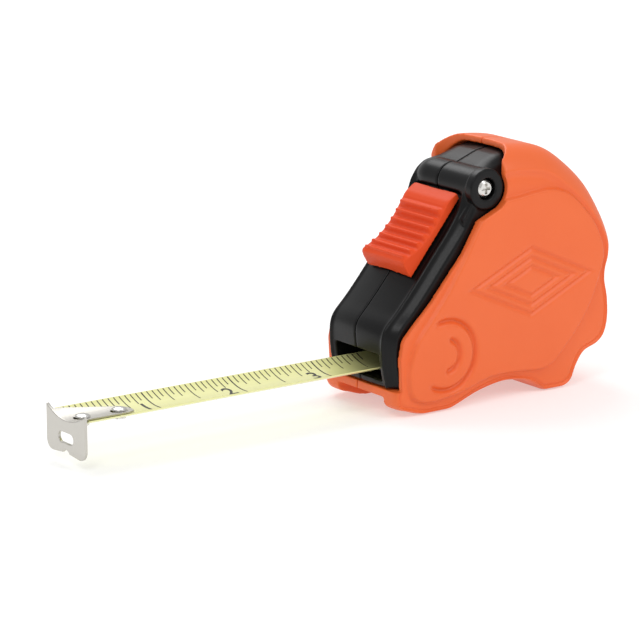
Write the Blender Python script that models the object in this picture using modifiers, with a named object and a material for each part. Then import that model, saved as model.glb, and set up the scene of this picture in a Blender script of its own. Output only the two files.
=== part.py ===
"""A pocket tape measure: a steel blade on a spring reel, in a black inner frame under two orange shells.

The zero point is on the floor, in the middle of the rear foot. +X points to the back of the case, so the
blade comes out towards -X. +Y is the far side, which carries the belt clip, and +Z is up.
"""

import math

import bmesh
import bpy
from mathutils import Matrix, Vector

MM = 0.001

# Overall sizes of the case. Outlines are given from the mouth, where the blade comes out, and the floor.
CASE_LENGTH = 70.6 * MM
CASE_HEIGHT = 64.5 * MM
REAR_FOOT = 52.0 * MM  # from the mouth to the middle of the rear foot
ARCH_HEIGHT = 4.4 * MM  # under the belly, between the feet

# The blade and the hook
BLADE_WIDTH = 15.2 * MM  # across the curved blade
BLADE_CUP = 2.0 * MM
BLADE_THICKNESS = 0.25 * MM
BLADE_OUT = 85.4 * MM  # length pulled out of the mouth
BLADE_EDGE_HEIGHT = 11.8 * MM
HOOK_WIDTH = 17.2 * MM
HOOK_THICKNESS = 0.8 * MM
HOOK_DROP = 9.5 * MM  # from the blade's edges down to the hook's lobes
HOOK_PLAY = 0.8 * MM  # the hook slides by its own thickness, so inside and outside measures agree
TANG_LENGTH = 18.0 * MM
TANG_THICKNESS = 0.5 * MM
TANG_ROOT_WIDTH = 13.0 * MM
TANG_TIP_WIDTH = 6.4 * MM
RIVET_RADIUS = 1.2 * MM
RIVET_HEAD_RADIUS = 2.0 * MM
RIVET_PLACES = (4.0 * MM, 14.4 * MM)  # from the hook's inner face

# The reel
REEL_FROM_REAR = 27.1 * MM
REEL_HEIGHT = 30.0 * MM
COIL_RADIUS = 18.2 * MM
HUB_RADIUS = 13.0 * MM
HUB_WALL = 1.6 * MM
FLANGE_THICKNESS = 1.1 * MM
ARBOR_RADIUS = 2.2 * MM
SPRING_TURNS = 5
SPRING_STRIP = 0.5 * MM

# Walls and clearances
GAP = 0.3 * MM  # between pieces that touch
RUN = 0.5 * MM  # round a piece that turns or slides
FRAME_WALL = 1.8 * MM
SHELL_WALL = 1.7 * MM
SIDE_WALL = 2.5 * MM
SHELL_SEAM = 1.5 * MM  # the shells' joint, off the middle
LIP_THICKNESS = 2.3 * MM  # under the mouth
CHANNEL_LENGTH = 22.0 * MM  # between the front feet, clear of the hook

# The lock button, measured along and out from the sloping front
BUTTON_WIDTH = 17.6 * MM
BUTTON_BOTTOM = 8.5 * MM
BUTTON_TOP = 34.0 * MM
BUTTON_TRAVEL = 6.0 * MM
BUTTON_LIP = 6.0 * MM  # how far its lower lip stands out
STEM_WIDTH = 6.0 * MM
STEM_LENGTH = 8.0 * MM
TONGUE_WIDTH = 9.0 * MM
PAD_THICKNESS = 1.4 * MM
PAD_WIDTH = 4.4 * MM  # narrow, so it clears the hook's curved tang when the blade is in

# Fasteners
SCREW_RADIUS = 1.4 * MM
SCREW_HEAD_RADIUS = 2.2 * MM
SCREW_HEAD_HEIGHT = 1.5 * MM
BARREL_RADIUS = 4.8 * MM
BOSS_RADIUS = 5.2 * MM
BOSS_HEIGHT = 0.8 * MM

# The belt clip on the far side
CLIP_WIDTH = 15.0 * MM
CLIP_THICKNESS = 1.0 * MM
CLIP_TOP = 50.0 * MM
CLIP_BOTTOM = 13.0 * MM
CLIP_GAP = 5.2 * MM

# What follows from these
MOUTH_X = -REAR_FOOT
HOOK_X = MOUTH_X - BLADE_OUT
REEL_X = MOUTH_X + CASE_LENGTH - REEL_FROM_REAR
COIL_HALF = BLADE_WIDTH / 2 + 0.4 * MM
FLANGE_INNER = COIL_HALF + GAP
FLANGE_OUTER = FLANGE_INNER + FLANGE_THICKNESS
FLANGE_RADIUS = COIL_RADIUS + 0.8 * MM
CHAMBER_RADIUS = FLANGE_RADIUS + 1.4 * MM
CHAMBER_HALF = FLANGE_OUTER + 2.4 * MM
FRAME_HALF = CHAMBER_HALF + FRAME_WALL
CAVITY_HALF = FRAME_HALF + GAP
CASE_HALF = CAVITY_HALF + SIDE_WALL
BLADE_CENTRE_HEIGHT = BLADE_EDGE_HEIGHT - BLADE_CUP
CUP_RATE = BLADE_CUP / (BLADE_WIDTH / 2) ** 2
MOUTH_HALF = HOOK_WIDTH / 2 + 0.5 * MM
MOUTH_BOTTOM = BLADE_CENTRE_HEIGHT - 1.1 * MM
MOUTH_TOP = BLADE_EDGE_HEIGHT + 4.0 * MM
FRAME_BOTTOM = MOUTH_BOTTOM - 1.4 * MM
SHELL_FLOOR = FRAME_BOTTOM - GAP
NOTCH_HALF = MOUTH_HALF + 0.4 * MM
SLOPE = Vector((0.632, 0.0, 0.775)).normalized()
OUTWARD = Vector((-SLOPE.z, 0.0, SLOPE.x))
SLOPE_START = Vector((MOUTH_X + 5.2 * MM, 0.0, 25.8 * MM))
BARREL_PLACE = (MOUTH_X + 29.4 * MM, 55.0 * MM)
ROUNDING = (0.1, 0.45, 0.74, 0.86, 0.94, 0.985, 1.0)  # where rings cross the half width
FACE_RISE = 1.3 * MM  # the crowned front stands this far above its edges under the button

COLOURS = {
    "orange_abs": ((0.84, 0.17, 0.06), 0.38, 0.0),
    "button_abs": ((0.75, 0.09, 0.03), 0.38, 0.0),
    "black_abs": ((0.02, 0.02, 0.022), 0.35, 0.0),
    "yellow_blade": ((0.80, 0.80, 0.35), 0.35, 0.0),
    "hook_steel": ((0.66, 0.65, 0.63), 0.36, 1.0),
    "nickel_steel": ((0.66, 0.65, 0.63), 0.28, 1.0),
    "spring_steel": ((0.22, 0.23, 0.26), 0.30, 1.0),
    "white_acetal": ((0.80, 0.79, 0.75), 0.45, 0.0),
    "rubber": ((0.03, 0.03, 0.03), 0.80, 0.0),
}


def clear_scene():
    for item in list(bpy.data.objects):
        bpy.data.objects.remove(item, do_unlink=True)


def new_collection(name, is_guide):
    collection = bpy.data.collections.new(name)
    bpy.context.scene.collection.children.link(collection)
    collection.hide_render = is_guide
    return collection


def material(name):
    if name in bpy.data.materials:
        return bpy.data.materials[name]
    made = bpy.data.materials.new(name)
    made.use_nodes = True
    colour, roughness, metallic = COLOURS[name]
    shader = made.node_tree.nodes["Principled BSDF"]
    shader.inputs["Base Color"].default_value = (*colour, 1.0)
    shader.inputs["Roughness"].default_value = roughness
    shader.inputs["Metallic"].default_value = metallic
    return made


clear_scene()
PARTS = new_collection("tape_measure", False)
CUTTERS = new_collection("cutters", True)


def place(name, mesh, finish, origin=(0.0, 0.0, 0.0)):
    """A mesh in world coordinates, as an object with its origin where asked. No finish makes it a cutter."""
    mesh.transform(Matrix.Translation(-Vector(origin)))
    made = bpy.data.objects.new(name, mesh)
    made.location = origin
    if finish is None:
        CUTTERS.objects.link(made)
        made.hide_render = True
        made.display_type = "WIRE"
        return made
    PARTS.objects.link(made)
    mesh.materials.append(material(finish))
    mesh.shade_smooth()
    mesh.set_sharp_from_angle(angle=math.radians(35))
    return made


def combine(target, other, operation):
    step = target.modifiers.new(f"{operation.lower()}_{other.name}", "BOOLEAN")
    step.operation = operation
    step.object = other
    step.solver = "EXACT"


def mesh_of(name, build):
    mesh = bpy.data.meshes.new(name)
    solid = bmesh.new()
    build(solid)
    bmesh.ops.recalc_face_normals(solid, faces=solid.faces)
    solid.to_mesh(mesh)
    solid.free()
    return mesh


def box(name, low, high, finish=None):
    """A box between two corners."""
    centre = [(a + b) / 2 for a, b in zip(low, high)]
    size = [b - a for a, b in zip(low, high)]

    def build(solid):
        shape = Matrix.Translation(centre) @ Matrix.Diagonal((*size, 1.0))
        bmesh.ops.create_cube(solid, size=1.0, matrix=shape)

    return place(name, mesh_of(name, build), finish)


def cylinder(name, radius, place_xz, low, high, finish=None, segments=32):
    """A cylinder along Y, between low and high."""
    turn = Matrix.Rotation(math.pi / 2, 4, "X")
    centre = Matrix.Translation((place_xz[0], (low + high) / 2, place_xz[1]))

    def build(solid):
        bmesh.ops.create_cone(
            solid,
            cap_ends=True,
            segments=segments,
            radius1=radius,
            radius2=radius,
            depth=high - low,
            matrix=centre @ turn,
        )

    return place(name, mesh_of(name, build), finish)


def outline_solid(name, outline, low, high, axis, finish=None, origin=(0.0, 0.0, 0.0), bevel=0.0):
    """A flat outline given a thickness: (x, z) points along Y, or (y, z) points along X."""
    curve = bpy.data.curves.new(name, "CURVE")
    curve.dimensions = "2D"
    curve.fill_mode = "BOTH"
    curve.extrude = (high - low) / 2
    spline = curve.splines.new("POLY")
    spline.points.add(len(outline) - 1)
    for point, (across, up) in zip(spline.points, outline):
        point.co = (across, up, 0.0, 1.0)
    spline.use_cyclic_u = True
    middle = (low + high) / 2
    if axis == "Y":
        turn = Matrix(((1, 0, 0, 0), (0, 0, -1, middle), (0, 1, 0, 0), (0, 0, 0, 1)))
    else:
        turn = Matrix(((0, 0, 1, middle), (1, 0, 0, 0), (0, 1, 0, 0), (0, 0, 0, 1)))
    drawn = bpy.data.objects.new(f"{name}_outline", curve)
    CUTTERS.objects.link(drawn)
    graph = bpy.context.evaluated_depsgraph_get()
    mesh = bpy.data.meshes.new_from_object(drawn.evaluated_get(graph))
    bpy.data.objects.remove(drawn, do_unlink=True)
    mesh.transform(turn)
    solid = bmesh.new()
    solid.from_mesh(mesh)
    bmesh.ops.remove_doubles(solid, verts=solid.verts, dist=1e-6)
    bmesh.ops.recalc_face_normals(solid, faces=solid.faces)
    solid.to_mesh(mesh)
    solid.free()
    made = place(name, mesh, finish, origin)
    if bevel:
        soften(made, bevel)
    return made


def soften(target, width, segments=2):
    edge = target.modifiers.new("edges", "BEVEL")
    edge.width = width
    edge.segments = segments
    edge.limit_method = "ANGLE"
    edge.angle_limit = math.radians(50)


def lofted(name, rings, finish=None):
    """A closed solid through rings that have the same number of points."""

    def build(solid):
        loops = [[solid.verts.new(point) for point in ring] for ring in rings]
        count = len(loops[0])
        for first, second in zip(loops, loops[1:]):
            for i in range(count):
                j = (i + 1) % count
                solid.faces.new((first[i], first[j], second[j], second[i]))
        solid.faces.new(loops[0])
        solid.faces.new(loops[-1])

    return place(name, mesh_of(name, build), finish)


def turned(name, profile, place_xz, finish=None, steps=40):
    """A profile of (radius, y) points turned about a line along Y: closed, or with both ends on the line."""
    closed = min(radius for radius, _ in profile) > 0
    area = sum(a[0] * b[1] - b[0] * a[1] for a, b in zip(profile, profile[1:] + profile[:1]))
    if area > 0:
        profile = profile[::-1]
    mesh = bpy.data.meshes.new(name)
    edges = [(i, i + 1) for i in range(len(profile) - 1)]
    if closed:
        edges.append((len(profile) - 1, 0))
    mesh.from_pydata([(radius, y, 0.0) for radius, y in profile], edges, [])
    made = bpy.data.objects.new(name, mesh)
    made.location = (place_xz[0], 0.0, place_xz[1])
    turn = made.modifiers.new("turn", "SCREW")
    turn.axis = "Y"
    turn.steps = steps
    turn.render_steps = steps
    turn.use_merge_vertices = True
    turn.merge_threshold = 1e-5
    turn.use_smooth_shade = True
    if finish is None:
        CUTTERS.objects.link(made)
        made.hide_render = True
        made.display_type = "WIRE"
    else:
        PARTS.objects.link(made)
        mesh.materials.append(material(finish))
    return made


def arc_points(centre, radius, degrees):
    """Points on an arc in the plane of an outline, at the given angles."""
    turns = [math.radians(angle) for angle in degrees]
    return [(centre[0] + radius * math.cos(a), centre[1] + radius * math.sin(a)) for a in turns]


def smoothstep(low, high, value):
    share = min(max((value - low) / (high - low), 0.0), 1.0)
    return share * share * (3 - 2 * share)


def curve_through(points, steps):
    """A closed Catmull-Rom curve through (x, z) points."""
    count = len(points)
    made = []
    for i in range(count):
        p = [Vector(points[(i + k - 1) % count]) for k in range(4)]
        for step in range(steps):
            t = step / steps
            made.append(
                0.5
                * (
                    2 * p[1]
                    + (p[2] - p[0]) * t
                    + (2 * p[0] - 5 * p[1] + 4 * p[2] - p[3]) * t * t
                    + (3 * p[1] - p[0] - 3 * p[2] + p[3]) * t**3
                )
            )
    return made


def case_outline():
    """The case from the side, as (x, z) from the front foot backwards, over the top and down the front."""
    rear = CASE_LENGTH / MM
    top = CASE_HEIGHT / MM
    arch = ARCH_HEIGHT / MM
    foot = REAR_FOOT / MM
    points = [
        (1.2, 2.9), (5.0, 1.2), (9.5, 0.0), (16.5, 0.0), (20.0, 0.9),
        (25.7, arch - 1.5), (32.1, arch - 0.2), (37.2, arch), (foot - 8.5, arch - 1.2),
        (foot - 3.5, 0.2), (foot - 2.5, 0.0), (foot + 2.5, 0.0), (foot + 5.2, 1.4), (foot + 6.9, 5.0),
        (rear - 9.1, 8.3), (rear - 4.7, 10.0), (rear - 2.3, 12.3), (rear - 1.2, 16.6),
        (rear - 1.4, 21.9), (rear - 2.1, 26.2), (rear - 1.7, 29.5), (rear - 0.3, 33.2), (rear, 37.4),
        (rear - 2.2, top - 20.3), (rear - 6.8, top - 12.3), (rear - 13.6, top - 5.8),
        (rear - 20.1, top - 1.8), (rear - 27.7, top - 0.2), (34.6, top),
        (27.0, top - 2.0), (17.0, 49.0), (6.5, 33.0), (1.8, 24.0), (0.6, 16.0), (0.9, 8.0),
    ]
    made = curve_through(points, 2)
    return without_repeats([(MOUTH_X + x * MM, max(z, 0.0) * MM) for x, z in made])


def inset(point, distance, lowest):
    """A point moved towards the middle of the case."""
    middle = Vector((MOUTH_X + CASE_LENGTH - 30.0 * MM, CASE_HEIGHT - 30.7 * MM))
    spoke = Vector(point) - middle
    moved = middle + spoke * (1 - distance / spoke.length)
    return moved.x, max(moved.y, lowest)


def edge_round(point, share):
    """How far the outside has curved in at a share of the half width: deeply at the top, less below."""
    high = smoothstep(20.0 * MM, CASE_HEIGHT - 4.0 * MM, point[1])
    rounding_width = (3.6 + 0.8 * high) * MM
    depth = (2.4 + 8.6 * high) * MM
    into_edge = 1 - (1 - share) * CASE_HALF / rounding_width
    return depth * (1 - math.sqrt(1 - min(max(into_edge, 0.0), 1.0) ** 2))


def side_rings(half, shares, ring_at):
    """Rings from -half to half, at the given shares of half on each side."""
    places = [-share for share in reversed(shares)] + list(shares)
    return [[Vector((x, half * share, z)) for x, z in ring_at(abs(share))] for share in places]


def shell_blank():
    """Rings of the outside of both shells together, and of the space in them for the frame."""
    outline = case_outline()
    inner = inner_outline()

    def wall_outside(share):
        return [inset(p, edge_round(p, share), 0.0) for p in outline]

    def wall_inside(share):
        return [inset(p, SHELL_WALL + edge_round(p, share), SHELL_FLOOR) for p in inner]

    outside = side_rings(CASE_HALF, ROUNDING, wall_outside)
    return outside, side_rings(CAVITY_HALF, ROUNDING, wall_inside)


def front_opening():
    """What the shells leave open in front: the bezel, the shoulder and the space behind it, as (x, z)."""
    arc_radius = BOSS_RADIUS + 0.6 * MM
    arc = arc_points(BARREL_PLACE, arc_radius, range(-60, 31, 15))
    below = [(-6.0, 0.0), (2.4, 0.0)]
    side = [(1.9, 15.2), (2.8, 19.8), (5.6, 22.7), (11.9, 28.8), (21.2, 39.4), (26.4, 47.4)]
    above = [(36.2, 60.8), (39.0, 62.2), (39.0, 75.0), (-6.0, 75.0)]
    low = [(MOUTH_X + x * MM, SHELL_FLOOR - 0.2 * MM + z * MM) for x, z in below]
    rise = [(MOUTH_X + x * MM, z * MM) for x, z in side]
    over = [(MOUTH_X + x * MM, z * MM) for x, z in above]
    return low + rise + arc + over


def make_shells():
    outside, hollow = shell_blank()
    cavity = lofted("shell_cavity", hollow)
    opening = outline_solid("front_opening_cut", front_opening(), -2 * CASE_HALF, 2 * CASE_HALF, "Y")
    channel = box(
        "hook_channel",
        (MOUTH_X - 10.0 * MM, -NOTCH_HALF, -5.0 * MM),
        (MOUTH_X + CHANNEL_LENGTH, NOTCH_HALF, SHELL_FLOOR - LIP_THICKNESS),
    )
    far = 4 * CASE_LENGTH
    halves = {
        "right_shell": box("right_shell_half", (-far, -far, -far), (far, SHELL_SEAM - GAP / 2, far)),
        "left_shell": box("left_shell_half", (-far, SHELL_SEAM + GAP / 2, -far), (far, far, far)),
    }
    for name, half in halves.items():
        shell = lofted(name, outside, "orange_abs")
        for cutter in (cavity, opening, channel):
            combine(shell, cutter, "DIFFERENCE")
        combine(shell, half, "INTERSECT")
    low = CAVITY_HALF - 1.0 * MM
    high = CASE_HALF + 5.0 * MM
    hole = cylinder("clip_screw_hole", SCREW_RADIUS + GAP, clip_screw_place(), low, high)
    combine(bpy.data.objects["left_shell"], hole, "DIFFERENCE")


def slope_point(along, out):
    spot = SLOPE_START + SLOPE * along + OUTWARD * out
    return spot.x, spot.z


def inner_outline():
    """The case's outline for what is inside it. The front toe is solid, and the front is open."""
    inner = []
    for x, z in case_outline():
        if x > MOUTH_X + 8.0 * MM:
            inner.append((x, z))
        elif z > 7.0 * MM:
            inner.append((x - 4.0 * MM, z))
    inner.append((MOUTH_X - 4.0 * MM, 2.0 * MM))
    return inner


def bezel_points(share):
    """The black front at a share of its half width, from its bottom to the top surface, as (x, z)."""
    edge = [
        (1.3, FRAME_BOTTOM / MM), (0.1, 13.0), (-0.1, 18.2), (1.2, 22.2), (5.2, 26.2), (9.8, 31.3),
        (15.5, 38.2), (21.0, 44.8), (24.0, 49.6), (25.5, 54.5), (29.0, 58.5), (33.0, 60.3), (37.0, 61.8),
    ]
    crown = 2.3 * (1 - share**2)
    made = []
    for x, z in edge:
        bulge = (0.12 + 0.88 * smoothstep(15.0, 26.0, z)) * (1 - smoothstep(46.0, 56.0, z))
        sunk = edge_round((x * MM, z * MM), share) * smoothstep(26.0, 39.0, x)
        made.append((MOUTH_X + (x - crown * bulge) * MM, z * MM - sunk))
    return made


def frame_ring(share):
    """The whole inner frame at a share of its half width: the front, then inside the shells all round."""
    around = []
    for point in reversed(inner_outline()):
        behind_opening = point[0] > MOUTH_X + 40.0 * MM
        under_mouth = point[1] < 6.0 * MM and point[0] > MOUTH_X + 6.0 * MM
        if behind_opening or under_mouth:
            around.append(inset(point, SHELL_WALL + GAP + edge_round(point, share), FRAME_BOTTOM))
    return bezel_points(share) + around


def without_repeats(points):
    """Points in order, leaving out any that is almost on the one before it."""
    kept = [points[0]]
    for point in points[1:]:
        if (Vector(point) - Vector(kept[-1])).length > 0.3 * MM:
            kept.append(point)
    return kept


def screw_places():
    """Where the frame's screws cross the case, as (x, z) by name."""
    return {
        "shoulder_screw": BARREL_PLACE,
        "lower_front_screw": (MOUTH_X + 21.0 * MM, 19.6 * MM),
        "lower_rear_screw": (MOUTH_X + CASE_LENGTH - 8.8 * MM, 14.6 * MM),
        "upper_rear_screw": (MOUTH_X + CASE_LENGTH - 14.1 * MM, CASE_HEIGHT - 15.7 * MM),
    }


def head_face(name):
    """How far from the middle a frame screw's head is. Only the shoulder's is in sight."""
    if name == "shoulder_screw":
        return FRAME_HALF + BOSS_HEIGHT - 0.5 * MM
    if name == "upper_rear_screw":
        return FRAME_HALF - 4.0 * MM
    return FRAME_HALF - GAP


def frame_cutters():
    """What is hollow in the frame."""
    lock_outline = [
        (MOUTH_X + 3.6 * MM, MOUTH_TOP - 2.0 * MM),
        (MOUTH_X + 3.6 * MM, 21.0 * MM),
        slope_point(3.0 * MM, -FRAME_WALL - 0.4 * MM),
        slope_point(33.0 * MM, -FRAME_WALL - 0.4 * MM),
        slope_point(33.0 * MM, -8.0 * MM),
        (MOUTH_X + 26.0 * MM, 33.0 * MM),
        (MOUTH_X + 17.6 * MM, 22.0 * MM),
        (MOUTH_X + 17.6 * MM, MOUTH_TOP - 2.0 * MM),
    ]
    slot_half = STEM_WIDTH / 2 + GAP
    slot_low = stem_start() - BUTTON_TRAVEL - RUN
    slot_high = stem_start() + STEM_LENGTH + RUN
    slot_outline = [
        slope_point(slot_low, 6.0 * MM),
        slope_point(slot_high, 6.0 * MM),
        slope_point(slot_high, -5.0 * MM),
        slope_point(slot_low, -5.0 * MM),
    ]
    lock_half = TONGUE_WIDTH / 2 + 1.4 * MM
    axis = (REEL_X, REEL_HEIGHT)
    cutters = [
        cylinder("reel_chamber", CHAMBER_RADIUS, axis, -CHAMBER_HALF, CHAMBER_HALF, segments=48),
        box(
            "blade_channel",
            (MOUTH_X - 10.0 * MM, -MOUTH_HALF, MOUTH_BOTTOM),
            (REEL_X, MOUTH_HALF, MOUTH_TOP),
        ),
        outline_solid("lock_cavity", lock_outline, -lock_half, lock_half, "Y"),
        outline_solid("stem_slot", slot_outline, -slot_half, slot_half, "Y"),
    ]
    for name, spot in screw_places().items():
        face = -head_face(name)
        outside = face - 5.0 * MM
        seat = face + SCREW_HEAD_HEIGHT + GAP
        end = screw_end() + RUN
        wide = SCREW_HEAD_RADIUS + 0.6 * MM
        cutters.append(cylinder(f"{name}_hole", SCREW_RADIUS + GAP, spot, outside, end, segments=20))
        cutters.append(cylinder(f"{name}_seat", wide, spot, outside, seat, segments=24))
    return cutters


def screw_end():
    return FRAME_HALF - 3.0 * MM


def make_frames():
    blank = side_rings(FRAME_HALF, ROUNDING, frame_ring)
    boss_end = FRAME_HALF + BOSS_HEIGHT
    barrel_end = boss_end - BOSS_HEIGHT / 2
    barrel = cylinder("shoulder_barrel", BARREL_RADIUS, BARREL_PLACE, -barrel_end, barrel_end)
    bosses = [
        cylinder("near_boss", BOSS_RADIUS, BARREL_PLACE, -boss_end, -boss_end + 2.4 * MM),
        cylinder("far_boss", BOSS_RADIUS, BARREL_PLACE, boss_end - 2.4 * MM, boss_end),
    ]
    cutters = frame_cutters()
    far = 4 * CASE_LENGTH
    halves = {
        "right_frame": box("right_frame_half", (-far, -far, -far), (far, -GAP / 2, far)),
        "left_frame": box("left_frame_half", (-far, GAP / 2, -far), (far, far, far)),
    }
    for name, half in halves.items():
        frame = lofted(name, blank, "black_abs")
        for piece in (barrel, *bosses):
            combine(frame, piece, "UNION")
        for cutter in cutters:
            combine(frame, cutter, "DIFFERENCE")
        combine(frame, half, "INTERSECT")


def stem_start():
    return BUTTON_BOTTOM + 12.0 * MM


def make_lock():
    """The button with its stem and tongue in one moulding, the rubber pad on it, and its detent spring."""
    base = FACE_RISE + GAP + 0.7 * MM
    top_face = [
        (BUTTON_BOTTOM, base),
        (BUTTON_BOTTOM + 2.8 * MM, BUTTON_LIP),
        (14.0 * MM, 4.9 * MM),
        (17.0 * MM, 3.9 * MM),
        (20.5 * MM, 3.4 * MM),
        (24.5 * MM, 3.3 * MM),
        (28.0 * MM, 3.6 * MM),
        (31.0 * MM, 4.0 * MM),
        (BUTTON_TOP, 3.4 * MM),
        (BUTTON_TOP - 1.2 * MM, base),
    ]
    cap_outline = [slope_point(along, out) for along, out in top_face]
    half = BUTTON_WIDTH / 2
    button = outline_solid("lock_button", cap_outline, -half, half, "Y", "button_abs", bevel=0.6 * MM)
    low = stem_start()
    high = low + STEM_LENGTH
    stem_outline = [
        slope_point(low, base + 0.5 * MM),
        slope_point(high, base + 0.5 * MM),
        slope_point(high, -4.2 * MM),
        slope_point(low, -4.2 * MM),
    ]
    stem = outline_solid("button_stem", stem_outline, -STEM_WIDTH / 2, STEM_WIDTH / 2, "Y")
    foot_depth = FRAME_WALL + 0.4 * MM + RUN
    tongue_tip = MOUTH_TOP + 1.7 * MM
    tongue_outline = [
        slope_point(low - 1.0 * MM, -foot_depth),
        slope_point(high + 1.0 * MM, -foot_depth),
        slope_point(high + 1.0 * MM, -foot_depth - 1.6 * MM),
        slope_point(low + 2.0 * MM, -foot_depth - 1.6 * MM),
        (MOUTH_X + 13.6 * MM, 23.0 * MM),
        (MOUTH_X + 13.6 * MM, tongue_tip),
        (MOUTH_X + 10.6 * MM, tongue_tip),
        (MOUTH_X + 10.6 * MM, 23.6 * MM),
    ]
    tongue = outline_solid("button_tongue", tongue_outline, -TONGUE_WIDTH / 2, TONGUE_WIDTH / 2, "Y")
    combine(button, stem, "UNION")
    combine(button, tongue, "UNION")
    pad_top = tongue_tip - GAP
    box(
        "brake_pad",
        (MOUTH_X + 9.6 * MM, -PAD_WIDTH / 2, pad_top - PAD_THICKNESS),
        (MOUTH_X + 14.4 * MM, PAD_WIDTH / 2, pad_top),
        "rubber",
    )
    depth = foot_depth + 1.6 * MM + RUN
    strip = 0.3 * MM
    start = low + 3.5 * MM
    spring_line = [
        (start, 0.9 * MM),
        (start + 3.0 * MM, 0.3 * MM),
        (start + 5.0 * MM, 0.0),
        (32.7 * MM, 0.3 * MM),
    ]
    outer = [slope_point(along, -depth - dip) for along, dip in spring_line]
    inner = [slope_point(along, -depth - dip - strip) for along, dip in reversed(spring_line)]
    outline_solid("detent_spring", outer + inner, -3.0 * MM, 3.0 * MM, "Y", "spring_steel")


def make_reel():
    axis = (REEL_X, REEL_HEIGHT)
    bore = ARBOR_RADIUS + RUN
    hub_inner = HUB_RADIUS - HUB_WALL
    drum = [
        (bore, FLANGE_OUTER),
        (FLANGE_RADIUS, FLANGE_OUTER),
        (FLANGE_RADIUS, FLANGE_INNER),
        (HUB_RADIUS, FLANGE_INNER),
        (HUB_RADIUS, -FLANGE_INNER),
        (FLANGE_RADIUS, -FLANGE_INNER),
        (FLANGE_RADIUS, -FLANGE_OUTER),
        (hub_inner, -FLANGE_OUTER),
        (hub_inner, FLANGE_INNER),
        (bore, FLANGE_INNER),
    ]
    turned("reel", drum, axis, "white_acetal")
    lid_inner = -FLANGE_OUTER + FLANGE_THICKNESS
    lid = [
        (bore, lid_inner),
        (hub_inner - GAP, lid_inner),
        (hub_inner - GAP, -FLANGE_OUTER),
        (bore, -FLANGE_OUTER),
    ]
    turned("reel_cover", lid, axis, "white_acetal")
    coil = [
        (HUB_RADIUS + GAP, COIL_HALF),
        (COIL_RADIUS, COIL_HALF),
        (COIL_RADIUS, -COIL_HALF),
        (HUB_RADIUS + GAP, -COIL_HALF),
    ]
    turned("blade_coil", coil, axis, "yellow_blade", steps=48)
    post = CHAMBER_HALF - GAP
    pin = [(0.0, post), (ARBOR_RADIUS, post), (ARBOR_RADIUS, -post), (0.0, -post)]
    turned("arbor", pin, axis, "nickel_steel", 24)
    make_power_spring(axis, bore, hub_inner, lid_inner)


def make_power_spring(axis, bore, hub_inner, lid_inner):
    """The clock spring that winds the blade in: a strip that runs outwards in a spiral."""
    steps_a_turn = 20
    first = bore + SPRING_STRIP
    last = hub_inner - GAP - SPRING_STRIP
    count = SPRING_TURNS * steps_a_turn
    line = []
    for step in range(count + 1):
        angle = 2 * math.pi * step / steps_a_turn
        radius = first + (last - first) * step / count
        line.append((math.cos(angle), math.sin(angle), radius))
    half = SPRING_STRIP / 2
    outer = [(axis[0] + c * (r + half), axis[1] + s * (r + half)) for c, s, r in line]
    inner = [(axis[0] + c * (r - half), axis[1] + s * (r - half)) for c, s, r in line]
    outline_solid(
        "power_spring",
        outer + inner[::-1],
        lid_inner + GAP,
        FLANGE_INNER - GAP,
        "Y",
        "spring_steel",
        (axis[0], 0.0, axis[1]),
    )


def cup_height(y):
    return CUP_RATE * y * y


def strip_section(x, half, thickness, centre, cup, across=8):
    """A ring of a curved strip's points at x: along its top, then back along its underside."""
    spread = [half * (2 * i / across - 1) for i in range(across + 1)]
    top = [Vector((x, y, centre + cup * cup_height(y) + thickness)) for y in spread]
    under = [Vector((x, y, centre + cup * cup_height(y))) for y in reversed(spread)]
    return top + under


def make_blade():
    """The pulled-out part of the blade, curved across, which flattens where it nears the coil."""
    flat_end = REEL_X - 4.5 * MM
    flat_height = REEL_HEIGHT - COIL_RADIUS - GAP - BLADE_THICKNESS
    start = MOUTH_X + 8.0 * MM
    rings = []
    shares = (0.0, 0.2, 0.4, 0.6, 0.8, 1.0)
    first = HOOK_X + HOOK_PLAY + GAP
    rings.append(strip_section(first, BLADE_WIDTH / 2, BLADE_THICKNESS, BLADE_CENTRE_HEIGHT, 1.0))
    for share in shares:
        turn = smoothstep(0.0, 1.0, share)
        centre = BLADE_CENTRE_HEIGHT + (flat_height - BLADE_CENTRE_HEIGHT) * turn
        x = start + (flat_end - start) * share
        rings.append(strip_section(x, BLADE_WIDTH / 2, BLADE_THICKNESS, centre, 1.0 - turn))
    blade = lofted("blade", rings, "yellow_blade")
    for number, along in enumerate(RIVET_PLACES, start=1):
        spot = HOOK_X + along
        hole = upright(f"rivet_hole_{number}", RIVET_RADIUS + GAP, spot, BLADE_CENTRE_HEIGHT, 6.0 * MM)
        combine(blade, hole, "DIFFERENCE")


def upright(name, radius, x, z, height):
    """A short cylinder along Z on the middle of the blade, for a cut."""

    def build(solid):
        bmesh.ops.create_cone(
            solid,
            cap_ends=True,
            segments=24,
            radius1=radius,
            radius2=radius,
            depth=height,
            matrix=Matrix.Translation((x, 0.0, z)),
        )

    return place(name, mesh_of(name, build), None)


def tang_height():
    """The underside of the hook's tang on the middle line."""
    return BLADE_CENTRE_HEIGHT + BLADE_THICKNESS + GAP


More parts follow.
